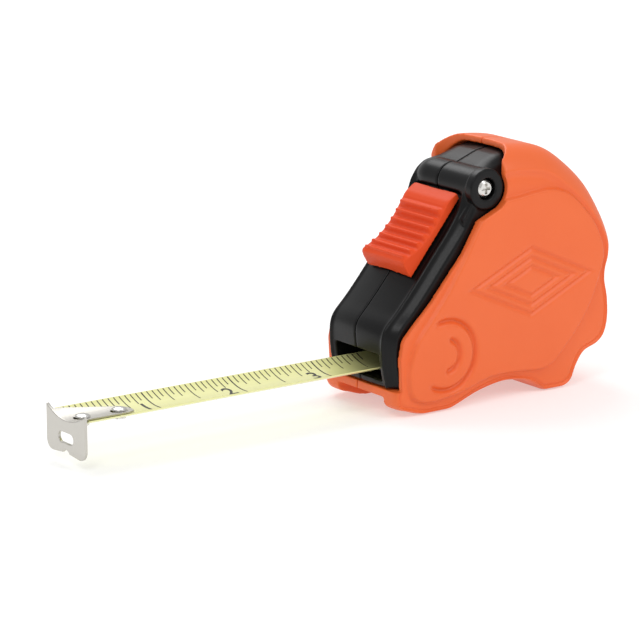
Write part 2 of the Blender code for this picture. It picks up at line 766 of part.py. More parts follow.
def make_hook():
    """A bent steel hook: a face across the blade's end, and a tang that two rivets hold on the blade."""
    inner = HOOK_X
    outer = HOOK_X - HOOK_THICKNESS
    root = TANG_ROOT_WIDTH / 2
    tip = TANG_TIP_WIDTH / 2
    body_end = TANG_LENGTH - tip
    steps = [(outer + 0.1 * MM, root), (inner + 1.5 * MM, root), (inner + body_end, tip)]
    for angle in (30, 55, 75):
        reach = body_end + tip * math.sin(math.radians(angle))
        steps.append((inner + reach, tip * math.cos(math.radians(angle))))
    under = tang_height()
    tang = lofted("hook_tang", [strip_section(x, half, TANG_THICKNESS, under, 1.0) for x, half in steps])
    half = HOOK_WIDTH / 2
    low = BLADE_EDGE_HEIGHT - HOOK_DROP
    top_edge = [
        (y, under + TANG_THICKNESS + cup_height(y))
        for y in [half * (1 - 2 * i / 14) for i in range(15)]
    ]
    corner = 2.6 * MM
    lobes = arc_points((-half + corner, low + corner), corner, range(180, 271, 18))
    notch = arc_points((0.0, low - 0.4 * MM), 1.7 * MM, range(150, 29, -20))
    mirrored = [(-y, z) for y, z in reversed(lobes)]
    face_outline = top_edge + lobes + notch + mirrored
    hook = outline_solid("hook", face_outline, outer, inner, "X", "hook_steel")
    combine(hook, tang, "UNION")
    combine(hook, nail_slot(outer, inner), "DIFFERENCE")
    for number, along in enumerate(RIVET_PLACES, start=1):
        combine(hook, play_slot(number, along), "DIFFERENCE")


def nail_slot(outer, inner):
    """The hole in the hook's face that a nail's head catches in."""
    centre = BLADE_EDGE_HEIGHT - 5.3 * MM
    radius = 1.3 * MM
    right = arc_points((2.0 * MM, centre), radius, range(-90, 91, 20))
    left = arc_points((-2.0 * MM, centre), radius, range(90, 271, 20))
    return outline_solid("nail_slot", right + left, outer - 2.0 * MM, inner + 2.0 * MM, "X")


def play_slot(number, along):
    """A hole in the tang, longer than its rivet by the hook's play."""
    width = RIVET_RADIUS + GAP
    middle = Matrix.Translation((HOOK_X + along - HOOK_PLAY / 2, 0.0, tang_height()))
    slot = upright(f"play_slot_{number}", width, 0.0, 0.0, 4.0 * MM)
    slot.data.transform(middle @ Matrix.Diagonal((1 + HOOK_PLAY / 2 / width, 1.0, 1.0, 1.0)))
    return slot


def make_rivets():
    """Each rivet in one piece: a domed head over the tang, a shank, and a flat head under the blade."""
    under = BLADE_CENTRE_HEIGHT - GAP - 0.4 * MM
    over = tang_height() + TANG_THICKNESS + GAP
    foot = RIVET_HEAD_RADIUS - 0.3 * MM
    profile = [
        (0.0, under), (foot, under), (foot, under + 0.4 * MM),
        (RIVET_RADIUS, under + 0.4 * MM), (RIVET_RADIUS, over), (RIVET_HEAD_RADIUS, over),
        (RIVET_HEAD_RADIUS * 0.85, over + 0.35 * MM), (RIVET_HEAD_RADIUS * 0.45, over + 0.6 * MM),
        (0.0, over + 0.7 * MM),
    ]
    for name, along in zip(("front_rivet", "rear_rivet"), RIVET_PLACES):
        rivet = turned(name, profile, (0.0, 0.0), "nickel_steel", steps=24)
        rivet.rotation_euler = (math.pi / 2, 0.0, 0.0)
        rivet.location = (HOOK_X + along, 0.0, 0.0)


def make_screws():
    """Cross-head screws that hold the frame's halves together, put in from the near side."""
    for name, spot in screw_places().items():
        face = -head_face(name)
        seat = face + SCREW_HEAD_HEIGHT
        profile = [
            (0.0, face),
            (SCREW_HEAD_RADIUS * 0.75, face),
            (SCREW_HEAD_RADIUS, face + 0.4 * MM),
            (SCREW_HEAD_RADIUS, seat),
            (SCREW_RADIUS, seat),
            (SCREW_RADIUS, screw_end() - 1.0 * MM),
            (0.0, screw_end()),
        ]
        screw = turned(name, profile, spot, "nickel_steel", steps=24)
        cross_recess(screw, spot, face, 1.0)


def cross_recess(screw, spot, face, towards_middle):
    """A Phillips recess: two crossed bars cut into the head."""
    reach = SCREW_HEAD_RADIUS * 0.62
    deep = face + towards_middle * 0.9 * MM
    low, high = sorted((face - towards_middle * 1.0 * MM, deep))
    thin = 0.4 * MM
    for way, (wide, tall) in {"along": (reach, thin), "up": (thin, reach)}.items():
        first = (spot[0] - wide, low, spot[1] - tall)
        last = (spot[0] + wide, high, spot[1] + tall)
        combine(screw, box(f"{screw.name}_cross_{way}", first, last), "DIFFERENCE")


def clip_screw_place():
    return (REEL_X, CLIP_TOP - 6.0 * MM)


def make_belt_clip():
    """A bent spring-steel strip: flat under its screw, then off the shell, with a flared lower end."""
    inner = CASE_HALF + GAP
    stand = inner + CLIP_GAP
    line = [
        (inner, CLIP_TOP),
        (inner, CLIP_TOP - 11.5 * MM),
        (stand - 0.8 * MM, CLIP_TOP - 14.5 * MM),
        (stand, CLIP_TOP - 17.0 * MM),
        (stand, CLIP_BOTTOM + 7.0 * MM),
        (stand - 2.2 * MM, CLIP_BOTTOM + 3.6 * MM),
        (stand + 0.6 * MM, CLIP_BOTTOM),
    ]
    outer = offset_line(line, CLIP_THICKNESS)
    centre = REEL_X
    clip = outline_solid(
        "belt_clip",
        line + outer[::-1],
        centre - CLIP_WIDTH / 2,
        centre + CLIP_WIDTH / 2,
        "X",
        "hook_steel",
    )
    spot = clip_screw_place()
    hole = cylinder("clip_hole", SCREW_RADIUS + GAP, spot, CAVITY_HALF, stand + 5.0 * MM, segments=24)
    combine(clip, hole, "DIFFERENCE")
    seat = inner + CLIP_THICKNESS + GAP
    face = seat + SCREW_HEAD_HEIGHT
    profile = [
        (0.0, face),
        (SCREW_HEAD_RADIUS * 0.75, face),
        (SCREW_HEAD_RADIUS, face - 0.4 * MM),
        (SCREW_HEAD_RADIUS, seat),
        (SCREW_RADIUS, seat),
        (SCREW_RADIUS, CAVITY_HALF + GAP),
        (0.0, CAVITY_HALF + GAP),
    ]
    screw = turned("belt_clip_screw", profile, spot, "nickel_steel", steps=24)
    cross_recess(screw, spot, face, -1.0)


def offset_line(line, distance):
    """The line moved sideways by a distance, on the side away from the case."""
    moved = []
    for i, point in enumerate(line):
        before = Vector(line[max(i - 1, 0)])
        after = Vector(line[min(i + 1, len(line) - 1)])
        here = Vector(point)
        ways = [step.normalized() for step in (here - before, after - here) if step.length > 0]
        normals = [Vector((-way.y, way.x)) for way in ways]
        if len(normals) == 2:
            middle = (normals[0] + normals[1]).normalized()
            reach = distance / max(middle.dot(normals[0]), 0.5)
        else:
            middle = normals[0]
            reach = distance
        moved.append(tuple(here + middle * reach))
    return moved


make_shells()
make_frames()
make_lock()
make_reel()
make_blade()
make_hook()
make_rivets()
make_screws()
make_belt_clip()
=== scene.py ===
"""A pocket tape measure's looks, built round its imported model: orange shells on a black frame, with a
ribbed lock, a printed steel blade and a plated hook. Sizes are in millimetres until a mesh is made."""

import math

import bmesh
import bpy
import numpy as np
from mathutils import Matrix, Vector


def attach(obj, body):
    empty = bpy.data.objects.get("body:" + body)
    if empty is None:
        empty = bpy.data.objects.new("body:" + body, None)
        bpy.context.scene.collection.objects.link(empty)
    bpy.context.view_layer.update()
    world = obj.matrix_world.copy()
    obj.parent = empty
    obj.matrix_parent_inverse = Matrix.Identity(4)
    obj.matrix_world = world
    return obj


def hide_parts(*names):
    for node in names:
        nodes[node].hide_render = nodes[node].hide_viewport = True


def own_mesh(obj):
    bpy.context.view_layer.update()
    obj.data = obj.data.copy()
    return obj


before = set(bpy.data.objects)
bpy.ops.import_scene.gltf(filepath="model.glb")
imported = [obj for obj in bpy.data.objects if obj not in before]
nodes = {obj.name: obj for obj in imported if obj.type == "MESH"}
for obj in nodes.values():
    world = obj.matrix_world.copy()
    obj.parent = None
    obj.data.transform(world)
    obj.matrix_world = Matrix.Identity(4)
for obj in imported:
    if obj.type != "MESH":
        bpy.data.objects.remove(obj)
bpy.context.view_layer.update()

# The two shells
# Injection-moulded ABS covers that clip over the frame from each side and meet just off the middle.
# They are satin, rounded deeply at the top, with a raised panel and shallow grooves on each side.
MOUTH = -52.0
CASE_HALF = 16.4
MIDDLE = np.array([MOUTH + 40.6, 33.8])
FLOOR = 7.0
SEAM = 1.5
SEAM_GAP = 0.12
TOE = 8.0
SHELL_WALL = 1.7
HOLLOW_HALF = 13.9
BOSS = (-22.6, 55.0)
CLIP_HOLE = (-8.5, 44.0)
FAR = 200.0

CASE_POINTS = [
    (1.2, 2.9), (5.0, 1.2), (9.5, 0.0), (16.5, 0.0), (20.0, 0.9), (25.7, 2.9), (32.1, 4.2), (37.2, 4.4),
    (43.5, 3.2), (48.5, 0.2), (49.5, 0.0), (54.5, 0.0), (57.2, 1.4), (58.9, 5.0), (61.5, 8.3), (65.9, 10.0),
    (68.3, 12.3), (69.4, 16.6), (69.2, 21.9), (68.5, 26.2), (68.9, 29.5), (70.3, 33.2), (70.6, 37.4),
    (68.4, 44.2), (63.8, 52.2), (57.0, 58.7), (50.5, 62.7), (42.9, 64.3), (34.6, 64.5), (27.0, 62.5),
    (17.0, 49.0), (6.5, 33.0), (1.8, 24.0), (0.6, 16.0), (0.9, 8.0),
]


def smooth_between(low, high, value):
    share = np.clip((np.asarray(value, float) - low) / (high - low), 0.0, 1.0)
    return share * share * (3 - 2 * share)


def through(points, steps, closed=True):
    """A smooth line through points."""
    points = [np.array(p, float) for p in points]
    count = len(points)
    made = []
    for i in range(count if closed else count - 1):
        pick = (lambda k: k % count) if closed else (lambda k: min(max(k, 0), count - 1))
        a, b, c, d = (points[pick(i + k)] for k in (-1, 0, 1, 2))
        for t in np.arange(steps) / steps:
            square = (2 * a - 5 * b + 4 * c - d) * t**2
            cube = (3 * b - a - 3 * c + d) * t**3
            made.append(0.5 * (2 * b + (c - a) * t + square + cube))
    if not closed:
        made.append(points[-1])
    return made


def thinned(points, apart):
    kept = [points[0]]
    for point in points[1:]:
        if np.linalg.norm(point - kept[-1]) > apart:
            kept.append(point)
    return kept


def object_from(name, points, faces):
    """A mesh object from points in millimetres, with its faces turned outwards."""
    mesh = bpy.data.meshes.new(name)
    mesh.from_pydata([tuple(0.001 * float(c) for c in p) for p in points], [], faces)
    solid = bmesh.new()
    solid.from_mesh(mesh)
    bmesh.ops.recalc_face_normals(solid, faces=solid.faces)
    solid.to_mesh(mesh)
    solid.free()
    made = bpy.data.objects.new(name, mesh)
    bpy.context.scene.collection.objects.link(made)
    return made


def skinned(name, rings):
    """A closed solid through rings of the same number of points."""
    count = len(rings[0])
    points = [p for ring in rings for p in ring]
    faces = []
    for r in range(len(rings) - 1):
        for i in range(count):
            j = (i + 1) % count
            faces.append((r * count + i, r * count + j, (r + 1) * count + j, (r + 1) * count + i))
    faces.append(tuple(range(count)))
    faces.append(tuple(range((len(rings) - 1) * count, len(rings) * count)))
    return object_from(name, points, faces)


def prism(name, outline, low, high):
    """An (x, z) outline given a thickness along Y."""
    return skinned(name, [[(x, y, z) for x, z in outline] for y in (low, high)])


def block(name, low, high):
    outline = [(low[0], low[2]), (high[0], low[2]), (high[0], high[2]), (low[0], high[2])]
    return prism(name, outline, low[1], high[1])


def arc(centre, radius, angles):
    return [
        (centre[0] + radius * math.cos(math.radians(a)), centre[1] + radius * math.sin(math.radians(a)))
        for a in angles
    ]


def round_bar(name, centre, radius, low, high, count=64):
    turns = np.linspace(0, 2 * math.pi, count, endpoint=False)
    outline = [(centre[0] + radius * math.cos(a), centre[1] + radius * math.sin(a)) for a in turns]
    return prism(name, outline, low, high)


def carve(target, other, operation="DIFFERENCE"):
    """Cuts or joins another object, and uses it up."""
    step = target.modifiers.new("carve", "BOOLEAN")
    step.operation = operation
    step.object = other
    step.solver = "EXACT"
    settle(target)
    bpy.data.objects.remove(other, do_unlink=True)


def settle(target):
    """Applies an object's modifiers to its mesh."""
    graph = bpy.context.evaluated_depsgraph_get()
    mesh = bpy.data.meshes.new_from_object(target.evaluated_get(graph))
    target.modifiers.clear()
    target.data = mesh


def moulded(target, grain, passes):
    """Gives a sharp solid the small radii that a mould or a press leaves on every edge."""
    even = target.modifiers.new("even", "REMESH")
    even.mode = "VOXEL"
    even.voxel_size = grain * 0.001
    ease = target.modifiers.new("ease", "SMOOTH")
    ease.factor = 0.5
    ease.iterations = passes
    settle(target)
    target.data.shade_smooth()


def points_of(target):
    flat = np.empty(len(target.data.vertices) * 3)
    target.data.vertices.foreach_get("co", flat)
    return flat.reshape(-1, 3) * 1000


def move_points(target, points):
    target.data.vertices.foreach_set("co", (points * 0.001).ravel())
    target.data.update()


def inset(points, distance, lowest):
    """An outline pulled towards the middle of the case."""
    points = np.asarray(points, float)
    spoke = points - MIDDLE
    moved = MIDDLE + spoke * (1 - distance / np.linalg.norm(spoke, axis=1))[:, None]
    moved[:, 1] = np.maximum(moved[:, 1], lowest)
    return moved


def edge_round(height, share):
    """How deeply the side has curved in: far more at the top of the case than at its foot."""
    high = smooth_between(20.0, 60.5, height)
    into = np.clip(1 - (1 - share) * CASE_HALF / (3.6 + 5.0 * high), 0.0, 1.0)
    return (2.4 + 8.6 * high) * (1 - np.sqrt(1 - into**2))


def crossings():
    """Shares of the half width, close together where the side rounds over."""
    quarter = [1 - (1 - math.sin(math.radians(a))) * 8.6 / CASE_HALF for a in range(0, 91, 5)]
    near = [0.08, 0.2, 0.32, 0.42] + quarter
    return [-s for s in reversed(near)] + near


case_line = np.array(thinned([np.array((MOUTH + x, max(z, 0.0))) for x, z in through(CASE_POINTS, 8)], 0.12))
front_toe = case_line[:, 0] <= MOUTH + TOE
above_toe = case_line[~front_toe | (case_line[:, 1] > FLOOR)]
inner_line = [(x, z) if x > MOUTH + TOE else (x - 4.0, z) for x, z in above_toe]
inner_line = np.array(inner_line + [(MOUTH - 4.0, 2.0)])


def case_rings(half, line, extra, lowest):
    rings = []
    for share in crossings():
        flat = inset(line, extra + edge_round(line[:, 1], abs(share)), lowest)
        rings.append([(x, half * share, z) for x, z in flat])
    return rings


# The front is open at full width as far back as the barrel, and behind it there is a rounded recess
FRONT_EDGE = [
    (-6.0, 6.8), (2.4, 6.8), (1.9, 15.2), (2.8, 19.8), (5.6, 22.7), (11.9, 28.8), (21.2, 39.4), (26.4, 47.4),
]
opening = [(MOUTH + x, z) for x, z in FRONT_EDGE]
opening += arc(BOSS, 5.8, range(-60, 31, 6))
opening += [(-17.3, 75.0), (MOUTH - 6.0, 75.0)]
RECESS = [(-24.0, -14.6), (-18.6, -13.8), (-15.6, -12.2), (-13.6, -9.4), (-12.4, -5.2), (-12.0, 0.0)]

# The raised panel on each side, from its lower front corner round over the top and down the back
PANEL = [
    (-47.2, 6.4), (-47.6, 12.9), (-45.4, 19.0), (-41.7, 23.5), (-36.4, 29.9), (-30.9, 38.1), (-26.8, 45.2),
    (-23.1, 50.3), (-18.3, 51.8), (-13.5, 52.2), (-8.7, 52.8), (-3.1, 53.0), (2.8, 51.2), (7.9, 46.9),
    (12.0, 42.0), (14.1, 37.0), (14.6, 33.0), (13.3, 28.7), (10.8, 22.4), (6.9, 16.4), (2.7, 11.7),
    (-3.5, 6.6), (-13.0, 6.9), (-22.0, 6.9), (-31.0, 4.4), (-40.0, 3.2), (-45.0, 4.0),
]


def distance_inside(points, outline):
    """Signed distance from an outline, positive inside it."""
    a = np.array(outline, float)
    b = np.roll(a, -1, axis=0)
    nearest = np.full(len(points), 1e9)
    inside = np.zeros(len(points), bool)
    for p, q in zip(a, b):
        run = q - p
        t = np.clip(((points - p) @ run) / (run @ run), 0, 1)
        nearest = np.minimum(nearest, np.linalg.norm(points - p - t[:, None] * run, axis=1))
        crosses = (p[1] > points[:, 1]) != (q[1] > points[:, 1])
        reach = run[0] * (points[:, 1] - p[1]) / (run[1] if abs(run[1]) > 1e-9 else 1e-9) + p[0]
        inside ^= crosses & (points[:, 0] < reach)
    return np.where(inside, nearest, -nearest)


def groove(distance, width):
    return np.exp(-((distance / (width / 2)) ** 2))


def arc_depth(points, centre, radius, start, end):
    """A groove along an arc, clockwise from start to end in degrees, that fades out at both ends."""
    across = points - np.array(centre)
    off = np.linalg.norm(across, axis=1) - radius
    turn = (start - np.degrees(np.arctan2(across[:, 1], across[:, 0]))) % 360
    span = (start - end) % 360
    fade = smooth_between(0, 22, turn) * (1 - smooth_between(span - 22, span, turn)) * (turn <= span)
    return groove(off, 1.3) * fade


def side_relief(points, near_side):
    """How far the side sinks at each (x, z): round the panel, along two arcs, and in nested lozenges.
    The far side has no lozenges, because its clip covers that place."""
    depth = 1.25 * (1 - smooth_between(-0.35, 0.35, distance_inside(points, through(PANEL, 3))))
    depth += 1.3 * arc_depth(points, (-36.2, 14.5), 8.9, 120, -132)
    depth += 1.2 * arc_depth(points, (-36.2, 14.5), 4.1, 86, -100)
    if not near_side:
        return depth
    lozenge = np.abs(points[:, 0] + 9.4) / 19.0 + np.abs(points[:, 1] - 30.0) / 8.6
    for level in (1.0, 0.72, 0.44):
        depth += 0.6 * groove((lozenge - level) * 7.8, 1.0)
    return depth


def make_shell(name, near_side):
    shell = skinned(name, case_rings(CASE_HALF, case_line, 0.0, 0.0))
    carve(shell, skinned("hollow", case_rings(HOLLOW_HALF, inner_line, SHELL_WALL, FLOOR)))
    carve(shell, prism("front", opening, -40.0, 40.0))
    recess = through(RECESS + [(x, -y) for x, y in RECESS[-2::-1]], 6, closed=False)
    carve(shell, skinned("recess", [[(x, y, z) for x, y in recess] for z in (56.5, 75.0)]))
    carve(shell, block("channel", (-62.0, -9.5, -5.0), (-30.0, 9.5, 4.7)))
    if near_side:
        carve(shell, block("beyond", (-FAR, SEAM - SEAM_GAP, -FAR), (FAR, FAR, FAR)))
    else:
        carve(shell, block("beyond", (-FAR, -FAR, -FAR), (FAR, SEAM + SEAM_GAP, FAR)))
        carve(shell, round_bar("hole", CLIP_HOLE, 1.7, 12.0, 22.0))
    moulded(shell, 0.34, 5)
    points = points_of(shell)
    outer = smooth_between(15.2, 16.1, np.abs(points[:, 1]))
    points[:, 1] -= np.sign(points[:, 1]) * outer * side_relief(points[:, [0, 2]], near_side)
    move_points(shell, points)
    return shell


def shade(hex_colour):
    """An sRGB hex colour as the linear one that shaders take."""
    parts = [int(hex_colour[i : i + 2], 16) / 255 for i in (1, 3, 5)]
    return (*[p / 12.92 if p <= 0.04045 else ((p + 0.055) / 1.055) ** 2.4 for p in parts], 1.0)


def add(tree, kind, settings=None, links=None):
    """Adds a node with its settings and its links."""
    made = tree.nodes.new(kind)
    for key, value in (settings or {}).items():
        if isinstance(key, int) or key in made.inputs:
            made.inputs[key].default_value = value
        else:
            setattr(made, key, value)
    for key, (source, output) in (links or {}).items():
        tree.links.new(source.outputs[output], made.inputs[key])
    return made


def new_material(name, settings):
    made = bpy.data.materials.new(name)
    made.use_nodes = True
    tree = made.node_tree
    surface = tree.nodes["Principled BSDF"]
    for key, value in settings.items():
        surface.inputs[key].default_value = value
    return made, tree, surface


def textured_plastic(name, settings, light, dark, grit, height, gloss):
    """Moulded plastic: spark-eroded grain in the mould, and broad cloudiness from how it flowed."""
    made, tree, surface = new_material(name, settings)
    place = add(tree, "ShaderNodeTexCoord")
    at = {"Vector": (place, "Object")}
    fine = add(tree, "ShaderNodeTexNoise", {"Scale": 1000.0 / grit, "Detail": 3.0, "Roughness": 0.6}, at)
    flow = add(tree, "ShaderNodeTexNoise", {"Scale": 1000.0 / 14.0, "Detail": 2.0}, at)
    tint = add(
        tree, "ShaderNodeMix", {"data_type": "RGBA", 6: shade(dark), 7: shade(light)}, {0: (flow, "Fac")}
    )
    tree.links.new(tint.outputs[2], surface.inputs["Base Color"])
    rough = add(
        tree,
        "ShaderNodeMapRange",
        {"From Min": 0.3, "From Max": 0.7, "To Min": gloss[0], "To Max": gloss[1]},
        {"Value": (fine, "Fac")},
    )
    tree.links.new(rough.outputs["Result"], surface.inputs["Roughness"])
    bump = add(
        tree, "ShaderNodeBump", {"Strength": 0.35, "Distance": height * 0.001}, {"Height": (fine, "Fac")}
    )
    tree.links.new(bump.outputs["Normal"], surface.inputs["Normal"])
    return made


# ABS with a fine eroded grain: it softens the highlights, and its colour drifts a little over the side.
# Real grain is about 0.1 mm, and it is drawn at 0.3 mm so that it shows.
orange_abs = textured_plastic(
    "orange_moulded_abs", {"IOR": 1.53, "Specular IOR Level": 0.4},
    "#EA6A31", "#E5632B", 0.3, 0.02, (0.36, 0.46),
)

for name, near_side in (("right_shell", True), ("left_shell", False)):
    shell = make_shell(f"{name}_moulding", near_side)
    shell.data.materials.clear()
    shell.data.materials.append(orange_abs)
    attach(shell, "case")
    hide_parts(name)

# The inner frame
# Two black ABS halves, screwed together, that carry the reel and close the sloping front.
# The front is crowned, has the mouth for the blade low down, and ends above in the shoulder barrel.
FRAME_HALF = 13.6
CREASE = 0.8
REEL_AXIS = (-8.5, 30.0)
# Each frame screw's place, and how deep its head's seat goes
FRAME_SCREWS = [((-31.0, 19.6), -11.5), ((9.8, 14.6), -11.5), ((4.5, 48.8), -7.8)]
BEZEL = [
    (1.3, 7.3), (0.1, 13.0), (-0.1, 18.2), (1.2, 22.2), (5.2, 26.2), (9.8, 31.3), (15.5, 38.2), (21.0, 44.8),
    (24.0, 49.6), (25.5, 54.5), (29.0, 58.5), (33.0, 60.3), (37.0, 61.8),
]
bezel_line = np.array(through(BEZEL, 5, closed=False))
SLOPE = np.array([0.632, 0.775])
OUT = np.array([-0.775, 0.632])
SLOPE_START = np.array([-46.8, 25.8])


def on_slope(along, out):
    return tuple(SLOPE_START + SLOPE * along + OUT * out)


around = [p for p in inner_line[::-1] if p[0] > MOUTH + 40.0 or (p[1] < 6.0 and p[0] > MOUTH + 6.0)]
around = np.array(around)


def frame_rings():
    rings = []
    for share in crossings():
        x, z = bezel_line[:, 0], bezel_line[:, 1]
        crown = 2.3 * (1 - share**2)
        bulge = (0.12 + 0.88 * smooth_between(15, 26, z)) * (1 - smooth_between(46, 56, z))
        # a crisp crease runs down each side of the front, and the flank outside it slopes back
        past = abs(share) - CREASE
        turned_in = 1.9 * max(0.0, past / 0.2) - 0.75 * math.exp(-((past / 0.035) ** 2))
        sunk = edge_round(z, abs(share)) * smooth_between(26, 39, x)
        front = np.column_stack([MOUTH + x - crown * bulge + turned_in, z - sunk])
        back = inset(around, 2.0 + edge_round(around[:, 1], abs(share)), 7.3)
        rings.append([(px, FRAME_HALF * share, pz) for px, pz in np.vstack([front, back])])
    return rings


def barrel():
    """The shoulder's bar: full width as far as its near boss, and rounded off at its far end."""
    turns = np.linspace(0, 2 * math.pi, 96, endpoint=False)
    rings = []
    for y in [-14.0, 0.0, 5.5, 6.5, 7.5, 8.5, 9.5, 10.5, 11.3, 12.0, 12.6, 13.0]:
        taper = max(0.0, (y - 5.5) / 7.9)
        radius = 4.8 * math.sqrt(1 - 0.86 * taper**2)
        middle = on_slope(37.9 - 0.3 * (4.8 - radius), -0.3 - 0.9 * (4.8 - radius))
        rings.append([(middle[0] + radius * math.cos(a), y, middle[1] + radius * math.sin(a)) for a in turns])
    return skinned("barrel", rings)


def make_frame(name, near_side):
    body = skinned(name, frame_rings())
    carve(body, barrel(), "UNION")
    web = [on_slope(a, out) for a, out in [(26.0, -3.0), (28.0, 0.2), (33.6, 0.5), (35.0, 1.0), (37.5, -3.0)]]
    carve(body, prism("web", web, -13.2, 8.0), "UNION")
    if near_side:
        carve(body, round_bar("boss", BOSS, 5.2, -14.4, -12.0, 96), "UNION")
    # a bed under the top end of the thumb lock, so that its cap slides clear of the shoulder
    bed = []
    for y in np.linspace(-9.3, 9.3, 25):
        low = 1.85 - 0.85 * (y / 8.8) ** 2
        bed.append([(x, y, z) for x, z in map(on_slope, (24.0, 34.3, 34.3, 24.0), (low, low, 9.0, 9.0))])
    carve(body, skinned("bed", bed))
    carve(body, round_bar("chamber", REEL_AXIS, 20.4, -11.8, 11.8, 96))
    carve(body, block("blade_way", (-70.0, -9.1, 8.7), (-8.5, 9.1, 15.8)))
    cavity = [(-48.4, 13.8), (-48.4, 21.0), on_slope(3.0, -2.2), on_slope(33.0, -2.2), on_slope(33.0, -8.0)]
    cavity += [(-26.0, 33.0), (-34.4, 22.0), (-34.4, 13.8)]
    carve(body, prism("lock_room", cavity, -5.9, 5.9))
    slot = [on_slope(14.0, 6.0), on_slope(29.0, 6.0), on_slope(29.0, -5.0), on_slope(14.0, -5.0)]
    carve(body, prism("stem_slot", slot, -3.3, 3.3))
    carve(body, round_bar("screw_seat", BOSS, 2.8, -20.0, -12.1, 64))
    carve(body, round_bar("screw_way", BOSS, 1.7, -20.0, 11.1, 48))
    for centre, seat in FRAME_SCREWS:
        carve(body, round_bar("head_seat", centre, 2.7, -20.0, seat, 48))
        carve(body, round_bar("shank_way", centre, 1.8, -20.0, 11.1, 48))
    if near_side:
        carve(body, block("beyond", (-FAR, -0.1, -FAR), (FAR, FAR, FAR)))
    else:
        carve(body, block("beyond", (-FAR, -FAR, -FAR), (FAR, 0.1, FAR)))
    moulded(body, 0.28, 4)
    return body


# The same plastic in black, with a finer mould finish: a grey sheen on its edges and the barrel.
black_abs = textured_plastic(
    "black_moulded_abs", {"IOR": 1.53, "Specular IOR Level": 0.2},
    "#0C0C0D", "#080809", 0.25, 0.012, (0.28, 0.38),
)

for name, near_side in (("right_frame", True), ("left_frame", False)):
    body = make_frame(f"{name}_moulding", near_side)
    body.data.materials.clear()
    body.data.materials.append(black_abs)
    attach(body, "case")
    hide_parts(name)

# The thumb lock
# One ABS moulding: a dished cap with cross ribs for grip and a lip at the bottom to push on.
# Its stem runs through the slot in the frame, and its tongue carries the brake pad.
CAP = [
    (9.5, 3.0), (10.4, 5.4), (11.5, 6.5), (13.9, 5.5), (16.8, 4.4), (20.6, 3.8), (24.2, 3.7), (27.3, 4.0),
    (30.0, 4.3), (31.8, 3.9), (33.6, 3.3),
]


def cap_rings():
    top = np.array(through(CAP, 14, closed=False))
    rings = []
    for y in np.concatenate([[-8.8, -8.65, -8.3], np.linspace(-7.8, 7.8, 19), [8.3, 8.65, 8.8]]):
        edge = smooth_between(7.6, 8.8, abs(y))
        ribs = (0.5 + 0.5 * np.cos(2 * math.pi * (top[:, 0] - 12.3) / 2.5)) ** 1.5
        ribs *= smooth_between(11.8, 12.6, top[:, 0]) * (1 - smooth_between(28.2, 29.4, top[:, 0]))
        out = top[:, 1] + (1.1 * ribs - 0.4) * (1 - edge) - 0.55 * edge
        base = 2.3 - 0.85 * (y / 8.8) ** 2
        under = [(33.0, base), (25.0, base), (17.0, base), (9.3, base)]
        flat = [on_slope(a, o) for a, o in zip(top[:, 0], out)] + [on_slope(a, o) for a, o in under]
        rings.append([(x, y, z) for x, z in flat])
    return rings


cap = skinned("lock_button_moulding", cap_rings())
stem = [on_slope(20.5, 3.2), on_slope(28.5, 3.2), on_slope(28.5, -4.2), on_slope(20.5, -4.2)]
carve(cap, prism("stem", stem, -3.0, 3.0), "UNION")
tongue = [on_slope(19.5, -2.7), on_slope(29.5, -2.7), on_slope(29.5, -4.3), on_slope(22.5, -4.3)]
tongue += [(-38.4, 23.0), (-38.4, 17.5), (-41.4, 17.5), (-41.4, 23.6)]
carve(cap, prism("tongue", tongue, -4.5, 4.5), "UNION")
moulded(cap, 0.2, 2)
# ABS again, a deeper orange, and polished a little by thumbs.
button_abs = textured_plastic(
    "lock_moulded_abs", {"IOR": 1.53, "Specular IOR Level": 0.16},
    "#E04C20", "#D8451A", 0.3, 0.015, (0.42, 0.52),
)
cap.data.materials.clear()
cap.data.materials.append(button_abs)
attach(cap, "thumb_lock")
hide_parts("lock_button")

# The blade and its print
# Spring steel strip, enamelled yellow, cupped across so that it stands out straight. It flattens on to
# the coil. Black sixteenths run from the far edge, with a number before each inch line.
HOOK = -137.4
BLADE_HALF = 7.6
CUP = 2.0 / BLADE_HALF**2
INCH = 25.4
BLADE_START = HOOK + 1.1
BLADE_END = -13.0


def blade_under(x, y):
    """The height of the blade's underside."""
    turn = smooth_between(-44.0, BLADE_END, x)
    return 9.8 + (11.25 - 9.8) * turn + CUP * y * y * (1 - turn)


def make_blade():
    xs = np.concatenate([np.linspace(BLADE_START, -44.0, 94), np.linspace(-43.0, BLADE_END, 24)])
    ys = np.linspace(-BLADE_HALF, BLADE_HALF, 33)
    rings = []
    for x in xs:
        top = [(x, y, float(blade_under(x, y)) + 0.25) for y in ys]
        rings.append(top + [(x, y, float(blade_under(x, y))) for y in ys[::-1]])
    return skinned("blade_strip", rings)


def make_print():
    """The scale's lines, laid on the enamel and following its curve."""
    points, faces = [], []

    def bar(x_low, x_high, y_low, y_high):
        ys = np.linspace(y_low, y_high, max(2, int((y_high - y_low) / 0.4) + 2))
        start = len(points)
        for y in ys:
            for x in (x_low, x_high):
                points.append((x, y, float(blade_under(x, y)) + 0.275))
        for i in range(len(ys) - 1):
            a = start + 2 * i
            faces.append((a, a + 1, a + 3, a + 2))

    for count in range(1, 70):
        x = HOOK + count * INCH / 16
        if x > -46.0:
            break
        if x < BLADE_START + 0.5:
            continue
        long = 8.8 if count % 16 == 0 else 7.0 if count % 8 == 0 else 5.2 if count % 4 == 0 else 3.9
        long = long if count % 2 == 0 else 2.7
        wide = 0.2 if count % 16 == 0 else 0.15
        bar(x - wide, x + wide, BLADE_HALF - 0.2 - long, BLADE_HALF - 0.2)
    x = BLADE_START
    while x < -46.0:
        bar(x, x + 1.0, -BLADE_HALF + 0.55, -BLADE_HALF + 0.75)
        x += 1.0
    return object_from("blade_scale_print", points, faces)


